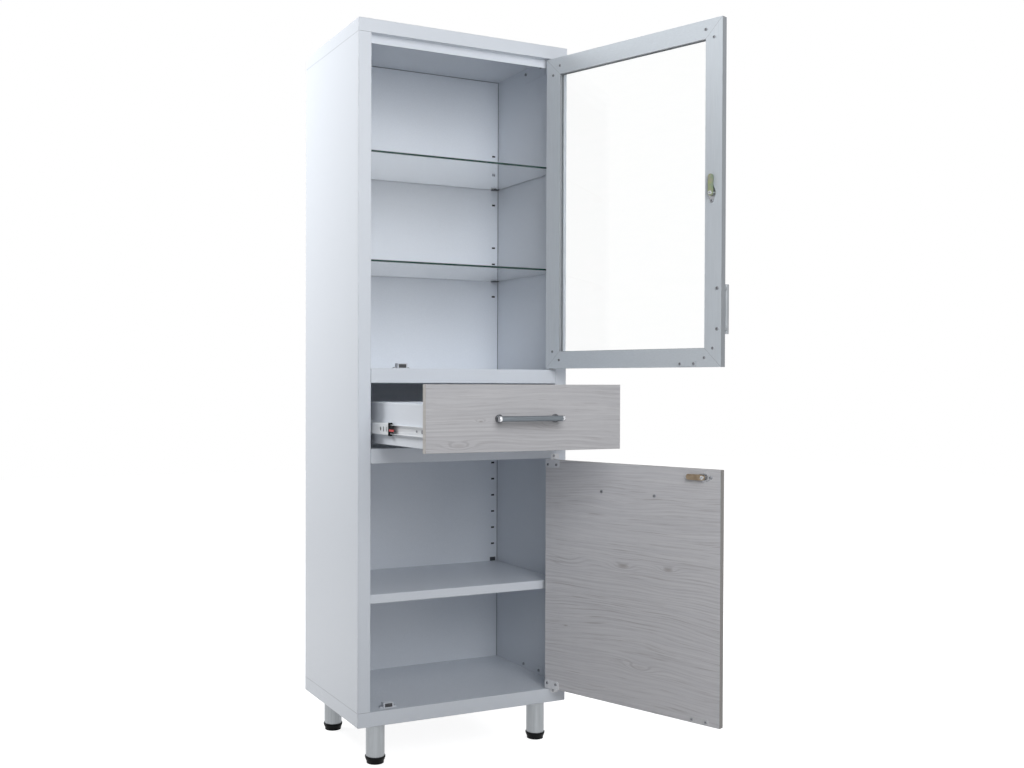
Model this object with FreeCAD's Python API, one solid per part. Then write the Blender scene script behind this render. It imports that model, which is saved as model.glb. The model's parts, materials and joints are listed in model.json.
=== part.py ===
import FreeCAD, Part
import math
import os

from FreeCAD import Vector

os.makedirs("parts", exist_ok=True)

# Free-standing steel medicine cabinet, millimetres, +Z up, front towards -Y.
# The origin is on the floor, midway between the four feet.
# Doors and drawer are drawn shut, then opened to the pose the cabinet is kept in.

# Carcass
cabinet_width = 600.0
cabinet_depth = 400.0
box_height = 1755.0
leg_height = 105.0
sheet = 1.0
bend = 1.0
front_flange = 34.0
flange_return = 15.0
rear_flange = 40.0
top_skirt = 34.0
bottom_skirt = 37.0
bottom_return = 20.0
rail_height = 37.0
lower_opening = 618.0
drawer_opening = 163.0
back_fold = 14.0
side_fold = 15.0
stop_drop = 21.0
stop_gap = 1.0
stop_relief = 8.0
fit_gap = 0.3

# Tabs that join the side panels to the top and bottom panels, and the nuts on them
tab_length = 120.0
tab_start = 101.0
tab_lap = 8.0
upper_tab_rise = 28.0
upper_nut_rise = 17.0
lower_tab_rise = 25.0
nut_inset = 18.0
nut_size = 7.0
nut_height = 3.2

# Base channels and legs
channel_width = 80.0
channel_sheet = 1.5
leg_inset_x = 66.0
leg_inset_y = 46.0
leg_radius = 24.0
leg_wall = 1.5
leg_cap = 12.0
foot_height = 18.0
foot_land = 4.0
foot_radius = 22.0
foot_flare = 26.0
foot_spigot = 8.0
bolt_radius = 5.0
bolt_head = 16.0
bolt_head_height = 6.4

# Shelves, their clips and the slots the clips hook into
glass_thick = 5.0
glass_chamfer = 0.5
glass_side_gap = 4.0
glass_front_setback = 24.0
lower_glass_level = 1164.0
upper_glass_level = 1437.0
shelf_level = 324.0
shelf_depth = 23.0
shelf_lip = 12.0
shelf_side_gap = 1.0
shelf_front_setback = 25.0
shelf_rear_gap = 3.0
slot_inset = 15.0
slot_clear = 0.5
slot_pitch = 48.5
glass_slot_steps = (-1, 0, 1, 2)
shelf_slot_steps = (-1, 0, 1, 2, 3, 4, 5, 6)
clip_sheet = 1.5
clip_reach = 20.0
clip_front_reach = 25.0
clip_width = 10.0
clip_drop = 14.0
clip_rise = 12.0
clip_tab = 4.0
clip_tab_rise = 4.0
clip_clear = 0.2
rear_clip_width = 18.0
slot_width = clip_width + 2 * slot_clear
slot_height = clip_tab + 2 * slot_clear
glass_levels = (lower_glass_level, upper_glass_level)
slot_steps = (glass_slot_steps, glass_slot_steps, shelf_slot_steps)

# Pivot hinges
door_side_gap = 2.0
pivot_setback = 4.5
pivot_inset = 8.0
pivot_radius = 2.5
pivot_depth = 12.0
pivot_end_gap = 0.5
collar_rim = 2.0
collar_thick = 0.55
running_gap = 0.05
leaf_sheet = 1.2
leaf_margin = 3.5
door_gap = 2 * leaf_sheet + collar_thick + running_gap
leaf_inset = 7.0
ear_height = 12.0
ear_width = 24.0
ear_inset = 2.0
ear_round = 5.0
ear_screw_drop = 6.6
ear_screw_shift = 5.5
plate_sheet = 1.5
plate_width = 46.0
plate_height = 21.0
plate_round = 6.0
plate_screw_rise = 13.0
plate_screw_inset = 9.0
leaf_width = 18.0
bush_wall = 0.85
bush_rim = 2.6
bush_length = 3.6
bush_sleeve = pivot_radius + running_gap + bush_wall

# Glazed upper door
upper_thick = 18.0
frame_width = 45.0
frame_wall = 1.8
groove_depth = 8.0
groove_start = 4.0
groove_width = 5.0
pane_thick = 4.0
pane_insert = 7.0
gasket_lip = 1.0
corner_leg = 60.0
corner_pin_gap = 1.0
corner_side_gap = 5.7
corner_gap = 0.4
corner_inset = pivot_inset + pivot_radius + corner_pin_gap
corner_width = frame_width - groove_depth - frame_wall - corner_inset - corner_side_gap

# Lower door and drawer front, 16 mm laminated board
board_thick = 16.0
board_round = 1.0

# Drawer
drawer_under_gap = 5.0
drawer_over_gap = 2.5
drawer_side_gap = 5.5
drawer_height = 102.5
drawer_base = 13.0
drawer_length = 350.0
drawer_lip = 6.0
drawer_screw_inset = 50.0
drawer_screw_rise = 22.0

# Ball-bearing drawer slides
slide_side_gap = 2.0
slide_width = 12.7
slide_height = 35.0
slide_sheet = 1.2
slide_start = 19.0
slide_level = 52.0
race_gap = 1.9
race_clear = 0.15
race_round = 1.5
reach_gap = 0.9
lip_step = 0.6
cage_step = 1.0
cage_web = 0.7
outer_cage_part = 0.4
inner_cage_part = 0.3
middle_start = 49.5
middle_hole_start = 49.0
middle_hole_radius = 5.2
middle_slot_start = 8.0
middle_slot_pitch = 19.0
middle_slot_length = 6.0
middle_slot_height = 12.0
inner_tip_gap = 0.2
inner_hole_start = 47.0
inner_slot_start = 15.0
inner_slot_length = 5.0
inner_slot_height = 7.5
bumper_length = 6.0
bumper_gap = 0.3
bumper_clear = 0.2
nose_length = 20.0
nose_height = 18.0
lever_thick = 1.5
lever_height = 5.0
lever_length = 27.0
bracket_sheet = 1.5
bracket_half = 22.0
bracket_foot = 14.0
slide_length = drawer_length
outer_cage_length = slide_length * outer_cage_part
inner_cage_length = slide_length * inner_cage_part
web_gap = cage_web + 2 * race_clear
middle_inset = slide_sheet + web_gap
inner_inset = middle_inset + slide_sheet + web_gap + inner_tip_gap
middle_reach = slide_width - slide_sheet - reach_gap
slide_lip = middle_reach - lip_step
cage_reach = slide_lip - cage_step

# Bar handles
drawer_handle_spacing = 150.0
lower_handle_spacing = 160.0
upper_handle_spacing = 96.0
bar_radius = 6.5
bar_overhang = 11.0
bar_standoff = 23.0
bar_end_round = 1.0
rosette_radius = 9.75
rosette_thick = 5.0
rosette_round = 2.0
stem_radius = 5.5
upper_handle_inset = 11.0
upper_handle_rise = 138.0
lower_handle_drop = 74.0

# Cam locks
lock_radius = 9.0
lock_rosette = 12.0
lock_rosette_thick = 2.0
lock_rosette_round = 1.2
lock_plate_thick = 1.5
lock_plate_radius = 10.5
lock_ear_radius = 4.5
lock_screw_offset = 18.0
plug_radius = 6.0
plug_proud = 4.0
stud_radius = 2.5
cam_thick = 2.5
cam_width = 14.0
cam_length = 45.0
cam_nut = 8.0
cam_nut_height = 4.0
key_slot = 1.2
key_slot_length = 8.0
key_slot_depth = 3.0
upper_lock_edge = 2.0
upper_lock_rise = 411.0
lower_lock_inset = 45.0
lower_lock_drop = 20.0
upper_lock_inset = frame_width - groove_depth - lock_radius - upper_lock_edge

# Magnetic catches and strikes
catch_width = 27.0
catch_depth = 16.0
catch_height = 13.0
catch_ear = 9.0
catch_ear_thick = 2.0
catch_ear_setback = 4.0
catch_screw_setback = 10.0
catch_side_wall = 3.5
catch_roof = 2.0
magnet_depth = 8.0
magnet_proud = 1.0
strike_end = 6.0
strike_height = 14.0
strike_round = 3.5
strike_thick = 1.5
strike_rise = 1.5
strike_screw_gap = 1.9
strike_gap = 0.3
upper_catch_inset = 92.0
lower_catch_inset = 55.0

# Small fasteners
screw_radius = 1.6
screw_head = 3.6
screw_head_height = 1.8
screw_head_round = 1.0
screw_length = 9.0
handle_screw_radius = 2.0
handle_screw_head = 4.3
handle_screw_grip = 8.0
screw_clear = 0.2
strike_screw_spacing = catch_width + 2 * (screw_head + strike_screw_gap)
strike_length = strike_screw_spacing + 2 * strike_end

# Pose in which the cabinet is kept
door_open_angle = 110.0
drawer_short = 39.0
middle_share = 0.5
drawer_travel = slide_length
drawer_out = drawer_travel - drawer_short
outer_cage_share = middle_share / 2
inner_cage_share = (middle_share + 1) / 2

# Places worked out from the sizes above
half_width = cabinet_width / 2
half_depth = cabinet_depth / 2
front = -half_depth
rear = half_depth
x_open = half_width - front_flange
x_inner = half_width - sheet
z_base = leg_height
z_floor = z_base + bottom_skirt
z_lower_rail = z_floor + lower_opening
z_lower_top = z_lower_rail + rail_height
z_upper_rail = z_lower_top + drawer_opening
z_upper_top = z_upper_rail + rail_height
z_top = z_base + box_height
z_lintel = z_top - top_skirt
back_face = rear - sheet - back_fold
leg_x = half_width - leg_inset_x
leg_y = half_depth - leg_inset_y

door_half = x_open - door_side_gap
pivot_x = door_half - pivot_inset
pivot_y = front + pivot_setback
lower_bottom = z_floor + door_gap
lower_top = z_lower_rail - door_gap
upper_bottom = z_upper_top + door_gap
upper_top = z_lintel - door_gap
upper_inner = front + upper_thick
board_inner = front + board_thick

slide_plane = x_open - slide_side_gap
drawer_half = slide_plane - slide_width
drawer_front_half = x_open - drawer_side_gap
drawer_bottom = z_lower_top + drawer_base
drawer_rim = drawer_bottom + drawer_height
slide_z = z_lower_top + slide_level
slide_front = front + slide_start

CENTRE = Vector(0, 0, 0)
ACROSS = Vector(1, 0, 0)
BACK = Vector(0, 1, 0)
FORWARD = Vector(0, -1, 0)
UP = Vector(0, 0, 1)
DOWN = Vector(0, 0, -1)
CLOSE = 0.01


def box(x0, x1, y0, y1, z0, z1):
    return Part.makeBox(x1 - x0, y1 - y0, z1 - z0, Vector(x0, y0, z0))


def rod(radius, start, direction, length):
    return Part.makeCylinder(radius, length, start, direction)


def hexagon(across, start, height):
    reach = across / math.sqrt(3)
    turns = [step * math.pi / 3 for step in range(6)]
    points = [start + Vector(reach * math.cos(turn), reach * math.sin(turn), 0) for turn in turns]
    return prism(points, UP * height)


def prism(points, direction):
    return Part.Face(Part.makePolygon(points + points[:1])).extrude(direction)


def fuse(shapes):
    return shapes[0].fuse(shapes[1:]).removeSplitter()


def mirrored(shape):
    return shape.mirror(CENTRE, ACROSS)


def both_sides(shape):
    return [shape, mirrored(shape)]


def rim_at(shape, centre):
    """Circular edge whose centre is given."""
    rounds = [edge for edge in shape.Edges if edge.isClosed()]
    return [edge for edge in rounds if (edge.CenterOfMass - centre).Length < CLOSE]


def sheet_section(points, thick, radius, place):
    """Face of a folded strip whose middle follows points, with rounded bends."""
    path = [Vector(a, b, 0) for a, b in points]
    runs = [(q - p).normalize() for p, q in zip(path, path[1:])]
    lefts = [Vector(-run.y, run.x, 0) for run in runs]
    middle = radius + thick / 2
    sides = []
    for side in (1, -1):
        offset = side * thick / 2
        spot = path[0] + lefts[0] * offset
        first = spot
        edges = []
        for corner, run, turned, left, after in zip(path[1:], runs, runs[1:], lefts, lefts[1:]):
            sense = math.copysign(1, run.cross(turned).z)
            setback = middle * math.tan(run.getAngle(turned) / 2)
            begin = corner - run * setback
            end = corner + turned * setback
            centre = begin + left * (sense * middle)
            reach = middle - sense * offset
            outward = (corner - centre).normalize()
            arc = (begin + left * offset, centre + outward * reach, end + after * offset)
            edges.append((spot, arc[0]))
            edges.append(arc)
            spot = arc[2]
        last = path[-1] + lefts[-1] * offset
        edges.append((spot, last))
        sides.append((first, last, edges))
    edges = sides[0][2] + sides[1][2]
    edges.append((sides[0][0], sides[1][0]))
    edges.append((sides[0][1], sides[1][1]))
    shapes = []
    for edge in edges:
        spots = [place(spot.x, spot.y) for spot in edge]
        curve = Part.Arc(*spots) if len(spots) == 3 else Part.LineSegment(*spots)
        shapes.append(curve.toShape())
    return Part.Face(Part.Wire(Part.__sortEdges__(shapes)))


def plan_fold(points, thick, z0, z1):
    face = sheet_section(points, thick, bend, lambda a, b: Vector(a, b, z0))
    return face.extrude(Vector(0, 0, z1 - z0))


def profile_fold(points, thick, x0, x1):
    face = sheet_section(points, thick, bend, lambda a, b: Vector(x0, a, b))
    return face.extrude(Vector(x1 - x0, 0, 0))


def front_fold(points, thick, y0, y1):
    face = sheet_section(points, thick, bend, lambda a, b: Vector(a, y0, b))
    return face.extrude(Vector(0, y1 - y0, 0))


def rounded_block(x0, x1, y0, y1, z0, z1, radius, flat_z):
    """Block with rounded edges, except those that lie at the level flat_z."""
    shape = box(x0, x1, y0, y1, z0, z1)
    edges = []
    for edge in shape.Edges:
        ends = [vertex.Point.z for vertex in edge.Vertexes]
        if max(abs(z - flat_z) for z in ends) > radius:
            edges.append(edge)
    return shape.makeFillet(radius, edges)


def front_ledges():
    levels = [z_base + level - glass_thick for level in glass_levels]
    levels.append(z_base + shelf_level - shelf_depth)
    return levels


def rear_ledges():
    levels = [z_base + level - glass_thick for level in glass_levels]
    levels.append(z_base + shelf_level - sheet)
    return levels


def slot_levels(ledges, shift):
    """Levels of the clip slots that go with each ledge, in steps of the slot pitch."""
    levels = []
    for ledge, steps in zip(ledges, slot_steps):
        levels += [ledge + shift + step * slot_pitch for step in steps]
    return levels


def side_panel():
    """Right side: one folded sheet with front flange, return and rear flange, and a tab behind the cap."""
    middle = half_width - sheet / 2
    lip = x_open + sheet / 2
    points = [
        (lip, front + flange_return),
        (lip, front + sheet / 2),
        (middle, front + sheet / 2),
        (middle, rear - sheet / 2),
        (half_width - rear_flange, rear - sheet / 2),
    ]
    shape = plan_fold(points, sheet, z_floor, z_lintel)
    slots = []
    slot_back = front + flange_return - bend
    slot_front = slot_back - clip_tab - 2 * clip_clear
    for level in slot_levels(front_ledges(), -clip_drop / 2):
        low = level - slot_height / 2
        slots.append(box(x_open, x_open + sheet, slot_front, slot_back, low, low + slot_height))
    tab = joining_tab(z_lintel - tab_lap, z_lintel + upper_tab_rise)
    return fuse([shape.cut(slots), tab])


def back_panel():
    """Tray set between the sides, with its edges folded to the rear and slots for the clips."""
    edge = x_inner - fit_gap
    top = z_top - sheet - fit_gap
    outer = box(-edge, edge, back_face, rear - sheet - bend, z_floor, top)
    hollow = box(-edge + sheet, edge - sheet, back_face + sheet, rear, z_floor + sheet, top - sheet)
    shape = outer.cut(hollow)
    slots = []
    slot_x = x_inner - slot_inset
    for level in slot_levels(rear_ledges(), clip_tab_rise):
        low = level - slot_height / 2
        for left in (-slot_x - slot_width / 2, slot_x - slot_width / 2):
            right = left + slot_width
            slots.append(box(left, right, back_face, back_face + sheet, low, low + slot_height))
    return shape.cut(slots)


def joining_tab(z0, z1):
    start = front + flange_return + tab_start
    return box(x_inner - sheet, x_inner, start, start + tab_length, z0, z1)


def top_panel():
    """Cap with a skirt on four sides and a door stop behind the front skirt."""
    outer = rounded_block(-half_width, half_width, front, rear, z_lintel, z_top, bend + sheet, z_lintel)
    mouth = z_lintel - top_skirt
    hollow = rounded_block(-x_inner, x_inner, front + sheet, rear - sheet, mouth, z_top - sheet, bend, mouth)
    stop = upper_inner + stop_gap + sheet / 2
    points = [
        (front + sheet / 2, z_lintel + top_skirt / 2),
        (front + sheet / 2, z_lintel + sheet / 2),
        (stop, z_lintel + sheet / 2),
        (stop, z_lintel - stop_drop),
    ]
    lip = profile_fold(points, sheet, -x_inner + fit_gap, x_inner - fit_gap)
    relief = box(pivot_x - stop_relief, half_width, upper_inner, back_face, z_lintel - stop_drop, z_lintel)
    lip = lip.cut(relief)
    return fuse([outer.cut(hollow), lip])


def bottom_panel():
    """Floor tray with a skirt on four sides, returns along the skirt's lower edge and two joining tabs."""
    outer = rounded_block(-half_width, half_width, front, rear, z_base, z_floor, bend + sheet, z_floor)
    hollow = box(-x_inner, x_inner, front + sheet, rear - sheet, z_base + sheet, z_floor - sheet)
    mouth_x = half_width - bottom_return
    mouth_y = half_depth - bottom_return
    mouth = box(-mouth_x, mouth_x, -mouth_y, mouth_y, z_base, z_base + sheet)
    tabs = both_sides(joining_tab(z_floor - sheet, z_floor + lower_tab_rise))
    return fuse([outer.cut([hollow, mouth])] + tabs)


def tray_panel(z, half, y0, y1, nose_half, nose_y, nose_drop, nose_return):
    """Horizontal panel with its sides folded down and a folded nose at the front."""
    level = z - sheet / 2
    edge = half - sheet / 2
    sides = [(-edge, z - side_fold), (-edge, level), (edge, level), (edge, z - side_fold)]
    plate = front_fold(sides, sheet, y0, y1)
    foot = z - nose_drop + sheet / 2
    points = [
        (y0 + side_fold, level),
        (nose_y + sheet / 2, level),
        (nose_y + sheet / 2, foot),
        (nose_y + nose_return, foot),
    ]
    return fuse([plate, profile_fold(points, sheet, -nose_half, nose_half)])


def divider(z):
    plate_front = front + flange_return + fit_gap
    return tray_panel(z, x_inner - fit_gap, plate_front, back_face - fit_gap,
                      x_open - fit_gap, front, rail_height, flange_return)


def steel_shelf():
    nose = front + shelf_front_setback
    half = x_inner - shelf_side_gap
    return tray_panel(z_base + shelf_level, half, nose + sheet, back_face - shelf_rear_gap,
                      half, nose, shelf_depth, shelf_lip)


def glass_shelf(level):
    half = x_inner - glass_side_gap
    z = z_base + level
    pane = box(-half, half, front + glass_front_setback, back_face - shelf_rear_gap, z - glass_thick, z)
    return pane.makeChamfer(glass_chamfer, pane.Edges)


def rear_clip(ledge):
    """Right rear clip: a ledge under the shelf, an upright behind it and a tab in the back panel's slot."""
    centre = x_inner - slot_inset
    upright = back_face - clip_sheet / 2
    points = [
        (back_face - clip_reach, ledge - clip_sheet / 2),
        (upright, ledge - clip_sheet / 2),
        (upright, ledge + clip_rise),
    ]
    half = rear_clip_width / 2
    body = profile_fold(points, clip_sheet, centre - half, centre + half)
    tab_z = ledge + clip_tab_rise
    tab = box(centre - clip_width / 2, centre + clip_width / 2, back_face - clip_sheet / 2,
              back_face + sheet + clip_sheet, tab_z - clip_tab / 2, tab_z + clip_tab / 2)
    return fuse([body, tab])


def front_clip(ledge):
    """Right front clip: a ledge behind the flange return and a tab in the return's slot."""
    face = x_open + sheet
    upright = face + clip_sheet / 2
    points = [
        (upright, ledge - clip_drop),
        (upright, ledge - clip_sheet / 2),
        (face + clip_reach, ledge - clip_sheet / 2),
    ]
    flange_end = front + flange_return
    body = front_fold(points, clip_sheet, flange_end - clip_width, flange_end + clip_front_reach)
    tab_z = ledge - clip_drop / 2
    tab_back = flange_end - bend - clip_clear
    tab = box(x_open, upright, tab_back - clip_tab, tab_back, tab_z - clip_tab / 2, tab_z + clip_tab / 2)
    return fuse([body, tab])


def shelf_clips(front_ledge, rear_ledge):
    return both_sides(front_clip(front_ledge)) + both_sides(rear_clip(rear_ledge))


def leg_places():
    return [Vector(x, y, 0) for x in (-leg_x, leg_x) for y in (-leg_y, leg_y)]


def base_channel():
    """Right channel under the floor, resting on the skirt's returns and carrying two legs."""
    web = z_base + sheet + channel_sheet / 2
    near = leg_x - channel_width / 2
    far = leg_x + channel_width / 2
    rim = z_floor - sheet
    points = [(near, rim), (near, web), (far, web), (far, rim)]
    shape = front_fold(points, channel_sheet, front + sheet + fit_gap, rear - sheet - fit_gap)
    holes = []
    for place in leg_places():
        holes.append(rod(bolt_radius + screw_clear, place + UP * (z_base + sheet), UP, channel_sheet))
    return shape.cut(holes)


def leg_tube(place):
    top = z_base + sheet
    length = top - foot_height
    start = place + UP * foot_height
    tube = rod(leg_radius, start, UP, length)
    bore = rod(leg_radius - leg_wall, start, UP, length - leg_cap)
    thread = rod(bolt_radius, start, UP, length)
    return tube.cut([bore, thread])


def leg_foot(place):
    """Turned plastic foot with a flared shoulder and a spigot inside the tube."""
    spigot = leg_radius - leg_wall - screw_clear
    outline = [
        (0, 0),
        (foot_radius, 0),
        (foot_radius, foot_land),
        (foot_flare, foot_height - foot_land),
        (foot_flare, foot_height),
        (spigot, foot_height),
        (spigot, foot_height + foot_spigot),
        (0, foot_height + foot_spigot),
    ]
    points = [place + Vector(a, 0, b) for a, b in outline]
    face = Part.Face(Part.makePolygon(points + points[:1]))
    return face.revolve(place, UP, 360)


def leg_bolt(place):
    seat = place + UP * (z_base + sheet + channel_sheet)
    head = hexagon(bolt_head, seat, bolt_head_height)
    shank = rod(bolt_radius, seat, DOWN, channel_sheet + leg_cap)
    return fuse([head, shank])


def joining_nuts():
    nuts = []
    start = front + flange_return + tab_start
    for level in (z_lintel + upper_nut_rise, z_floor + lower_tab_rise / 2):
        for place in (start + nut_inset, start + tab_length - nut_inset):
            nut = hexagon(nut_size, CENTRE, nut_height)
            nut.rotate(CENTRE, BACK, -90)
            nut.translate(Vector(x_inner - sheet, place, level))
            nuts.extend(both_sides(nut))
    return nuts


def hinge_levels():
    """Rail edge, direction from rail to door, for each of the four pivots."""
    return [(z_floor, 1), (z_lower_rail, -1), (z_upper_top, 1), (z_lintel, -1)]


def pivot_leaf(edge, way):
    """Leaf in the gap beside the rail, bored for the pin."""
    tip = edge + way * leaf_sheet
    y1 = pivot_y + pivot_radius + leaf_margin
    leaf = box(pivot_x - leaf_inset, x_open - fit_gap, front, y1, min(edge, tip), max(edge, tip))
    return leaf.cut(rod(pivot_radius, Vector(pivot_x, pivot_y, edge), UP * way, leaf_sheet))


def pivot_bracket(edge, way):
    """Leaf with an ear that is screwed to the front of the rail."""
    x0 = pivot_x - ear_inset
    tip = edge + way * leaf_sheet
    foot = edge - way * ear_height
    ear = box(x0, x0 + ear_width, front - leaf_sheet, front, min(tip, foot), max(tip, foot))
    corners = [line for line in ear.Edges if line.Length < leaf_sheet + CLOSE]
    ear = ear.makeFillet(ear_round, [line for line in corners if abs(line.CenterOfMass.z - foot) < CLOSE])
    hole = rod(screw_radius, ear_screw_place(edge, way), BACK, leaf_sheet)
    return fuse([pivot_leaf(edge, way), ear]).cut(hole)


def ear_screw_place(edge, way):
    return Vector(pivot_x + ear_screw_shift, front - leaf_sheet, edge - way * ear_screw_drop)


def pivot_pin(edge, way):
    """Pin riveted in the bracket, with a collar that keeps the door off the bracket."""
    foot = Vector(pivot_x, pivot_y, edge)
    pin = rod(pivot_radius, foot, UP * way, door_gap + pivot_depth)
    collar = rod(pivot_radius + collar_rim, foot + UP * (way * leaf_sheet), UP * way, collar_thick)
    return fuse([pin, collar])


def pan_screw(place, direction, length, radius=screw_radius, head=screw_head):
    """Screw whose head rests on place, with the shank running along direction."""
    dome = rod(head, place, direction * -1, screw_head_height)
    dome = dome.makeFillet(screw_head_round, rim_at(dome, place - direction * screw_head_height))
    return fuse([dome, rod(radius, place, direction, length)])


def ear_screws():
    return [pan_screw(ear_screw_place(edge, way), BACK, leaf_sheet) for edge, way in lower_hinges()]


def lock_plate(place, long_axis, inner):
    """Eye-shaped lock plate: a round middle tapering to a screw ear at each end."""
    across = long_axis.cross(BACK)
    seat = Vector(place.x, inner, place.z)
    shapes = [rod(lock_plate_radius, seat, BACK, lock_plate_thick)]
    spread = (lock_plate_radius - lock_ear_radius) / lock_screw_offset
    rise = math.sqrt(1 - spread * spread)
    for side in (-1, 1):
        spot = seat + long_axis * (side * lock_screw_offset)
        lean = long_axis * (side * spread)
        shapes.append(rod(lock_ear_radius, spot, BACK, lock_plate_thick))
        corners = [
            seat + (lean + across * rise) * lock_plate_radius,
            spot + (lean + across * rise) * lock_ear_radius,
            spot + (lean - across * rise) * lock_ear_radius,
            seat + (lean - across * rise) * lock_plate_radius,
        ]
        shapes.append(prism(corners, BACK * lock_plate_thick))
    return fuse(shapes)


def lock_body(place, long_axis, inner):
    """Lock housing through the door, with a rosette outside and a screwed plate inside."""
    face = Vector(place.x, front, place.z)
    barrel = rod(lock_radius, face, BACK, inner - front)
    rosette = rod(lock_rosette, face, FORWARD, lock_rosette_thick)
    brow = face + FORWARD * lock_rosette_thick
    rosette = rosette.makeFillet(lock_rosette_round, rim_at(rosette, brow))
    plate = lock_plate(place, long_axis, inner)
    length = lock_rosette_thick + inner - front + lock_plate_thick
    drills = [rod(plug_radius + running_gap, brow, BACK, length)]
    for spot in lock_screw_places(place, long_axis, inner):
        drills.append(rod(screw_radius, spot, BACK, lock_plate_thick))
    return fuse([barrel, rosette, plate]).cut(drills)


def cam_seat(place, inner):
    return Vector(place.x, inner + lock_plate_thick + plug_proud, place.z)


def lock_plug(place, inner):
    """Turning plug with its key slot and the threaded stud that carries the cam."""
    start = Vector(place.x, front - lock_rosette_thick, place.z)
    seat = cam_seat(place, inner)
    plug = rod(plug_radius, start, BACK, seat.y - start.y)
    stud = rod(stud_radius, seat, BACK, cam_thick + cam_nut_height)
    slot = box(place.x - key_slot / 2, place.x + key_slot / 2, start.y, start.y + key_slot_depth,
               place.z - key_slot_length / 2, place.z + key_slot_length / 2)
    return fuse([plug, stud]).cut(slot)


def lock_cam(place, inner, pointing):
    """Cam tongue with round ends, clamped on the plug's stud."""
    seat = cam_seat(place, inner)
    tip = seat + pointing * (cam_length - cam_width / 2)
    across = pointing.cross(BACK) * (cam_width / 2)
    blade = prism([seat + across, tip + across, tip - across, seat - across], BACK * cam_thick)
    ends = [rod(cam_width / 2, spot, BACK, cam_thick) for spot in (seat, tip)]
    return fuse([blade] + ends).cut(rod(stud_radius, seat, BACK, cam_thick))


def lock_nut(place, inner):
    nut = hexagon(cam_nut, CENTRE, cam_nut_height).cut(rod(stud_radius, CENTRE, UP, cam_nut_height))
    nut.rotate(CENTRE, ACROSS, -90)
    nut.translate(cam_seat(place, inner) + BACK * cam_thick)
    return nut


def lock_screws(place, long_axis, inner):
    spots = lock_screw_places(place, long_axis, inner + lock_plate_thick)
    return [pan_screw(spot, FORWARD, screw_length) for spot in spots]


def handle_bar(centre, along, spacing):
    length = spacing + 2 * bar_overhang
    start = centre + along * (-length / 2) + FORWARD * bar_standoff
    bar = rod(bar_radius, start, along, length)
    return bar.makeFillet(bar_end_round, [edge for edge in bar.Edges if edge.isClosed()])


def handle_posts(centre, along, spacing):
    """Turned posts with a rosette foot, saddled to seat the bar and threaded for the handle screws."""
    bar = handle_bar(centre, along, spacing)
    posts = []
    for side in (-1, 1):
        base = centre + along * (side * spacing / 2)
        rosette = rod(rosette_radius, base, FORWARD, rosette_thick)
        rosette = rosette.makeFillet(rosette_round, rim_at(rosette, base + FORWARD * rosette_thick))
        stem = rod(stem_radius, base, FORWARD, bar_standoff)
        thread = rod(handle_screw_radius, base, FORWARD, handle_screw_grip)
        posts.append(fuse([rosette, stem]).cut([bar, thread]))
    return posts


def handle_screw_set(centre, along, spacing, thick):
    screws = []
    for side in (-1, 1):
        spot = centre + along * (side * spacing / 2) + BACK * thick
        length = thick + handle_screw_grip
        screws.append(pan_screw(spot, FORWARD, length, handle_screw_radius, handle_screw_head))
    return screws


def handle_holes(centre, along, spacing, thick):
    holes = []
    for side in (-1, 1):
        spot = centre + along * (side * spacing / 2)
        holes.append(rod(handle_screw_radius + screw_clear, spot, BACK, thick))
    return holes


def screw_holes(places, direction):
    return [rod(screw_radius, place, direction, screw_length) for place in places]


upper_handle = Vector(-door_half + upper_handle_inset, front, upper_bottom + upper_handle_rise)
lower_handle = Vector(0, front, lower_top - lower_handle_drop)
drawer_handle = Vector(0, front, (z_lower_top + z_upper_rail) / 2)
upper_lock = Vector(-door_half + upper_lock_inset, 0, upper_bottom + upper_lock_rise)
lower_lock = Vector(-door_half + lower_lock_inset, 0, lower_top - lower_lock_drop)


def frame_member(x0, x1, z0, z1, edge, inward):
    """One mitred length of the hollow frame profile; edge is its outer line, inward points at the pane."""
    depth = upper_thick
    floor = frame_width - groove_depth
    outline = [
        (0, 0),
        (frame_width, 0),
        (frame_width, groove_start),
        (floor, groove_start),
        (floor, groove_start + groove_width),
        (frame_width, groove_start + groove_width),
        (frame_width, depth),
        (0, depth),
    ]
    chamber = [
        (frame_wall, frame_wall),
        (floor - frame_wall, frame_wall),
        (floor - frame_wall, depth - frame_wall),
        (frame_wall, depth - frame_wall),
    ]
    upright = abs(inward.x) > CLOSE
    start = Vector(edge, front, z0) if upright else Vector(x0, front, edge)
    run = UP * (z1 - z0) if upright else ACROSS * (x1 - x0)
    solids = []
    for shape in (outline, chamber):
        solids.append(prism([start + inward * a + BACK * b for a, b in shape], run))
    body = solids[0].cut(solids[1])
    w = frame_width
    if upright:
        inner = edge + inward.x * w
        trapezium = [(edge, z0), (inner, z0 + w), (inner, z1 - w), (edge, z1)]
    else:
        inner = edge + inward.z * w
        trapezium = [(x0, edge), (x0 + w, inner), (x1 - w, inner), (x1, edge)]
    keep = prism([Vector(a, front, b) for a, b in trapezium], BACK * depth)
    return body.common(keep)


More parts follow.
